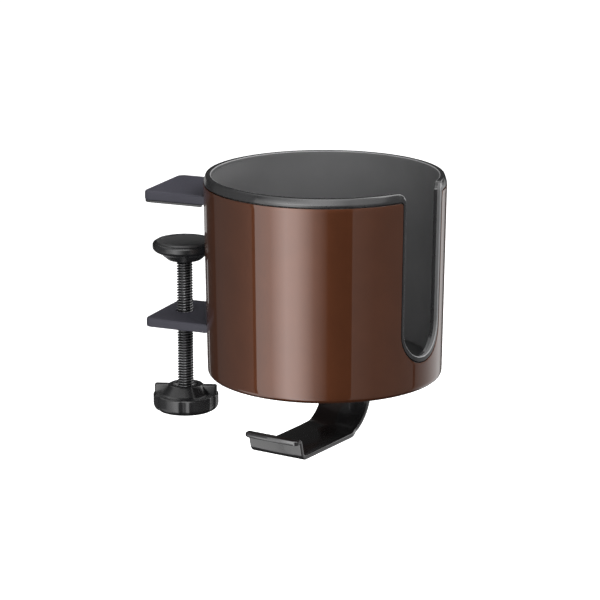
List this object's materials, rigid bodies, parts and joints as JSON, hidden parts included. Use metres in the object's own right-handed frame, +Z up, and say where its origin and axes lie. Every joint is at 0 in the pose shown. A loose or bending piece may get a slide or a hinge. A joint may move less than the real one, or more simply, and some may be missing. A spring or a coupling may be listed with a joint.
{
  "type": "desk clamp cup holder",
  "caption": "Round lined cup holder with a mug-handle slot, carried by a screw clamp on a desk edge, with a swivelling headphone hook under it.",
  "frame": {"origin": "on the clamp screw's axis, in the face of the upper jaw that rests on the desk top", "axes": "+Z up, along the clamp screw; +Y out of the clamp's mouth, from the cup towards the desk; +X to the right when looking along +Y"},
  "size_m": [0.086, 0.1102, 0.0961],
  "materials": {
    "brown_paint": "glossy metallic brown paint on steel",
    "liner_plastic": "dark grey satin moulding",
    "frame_paint": "blue-grey satin paint on steel",
    "black_paint": "glossy black paint on steel",
    "black_plastic": "black satin plastic",
    "rubber": "matt black rubber",
    "black_steel": "black oxide steel",
    "zinc_steel": "bright zinc plate",
    "nylon": "natural nylon"
  },
  "bodies": {
    "holder": {"cup_shell": "brown_paint", "cup_liner": "liner_plastic", "base_mat": "rubber", "clamp_frame": "frame_paint", "jaw_pad": "rubber", "thread_insert": "frame_paint", "frame_screw_1": "black_steel", "frame_screw_2": "black_steel", "pivot_washer_top": "nylon", "wave_washer": "zinc_steel", "pivot_washer_bottom": "zinc_steel", "pivot_bolt": "zinc_steel", "pivot_nut": "zinc_steel"},
    "pad_carrier": {"pad_washer": "zinc_steel"},
    "screw": {"clamp_screw": "black_steel", "knob": "black_plastic", "knob_cap": "black_plastic"},
    "pad": {"swivel_pad": "black_plastic", "pad_face": "rubber"},
    "hook": {"headphone_hook": "black_paint"}
  },
  "joints": [
    {"name": "screw_travel", "type": "slide", "parent": "holder", "child": "pad_carrier", "axis": [0, 0, 1], "range_m": [-0.01818, 0.01531]},
    {"name": "screw_turn", "type": "hinge", "parent": "pad_carrier", "child": "screw", "pos_m": [0, 0, -0.0209], "axis": [0, 0, 1], "range_deg": [-6540, 5508]},
    {"name": "pad_tilt", "type": "hinge", "parent": "pad_carrier", "child": "pad", "pos_m": [0, 0, -0.0209], "axis": [1, 0, 0], "range_deg": [-4, 4]},
    {"name": "hook_swivel", "type": "hinge", "parent": "holder", "child": "hook", "pos_m": [0, -0.0553, -0.0618], "axis": [0, 0, 1], "continuous": true}
  ],
  "couplings": [
    {"joint": "screw_travel", "follows": "screw_turn", "m_per_rad": 0.00015915}
  ]
}
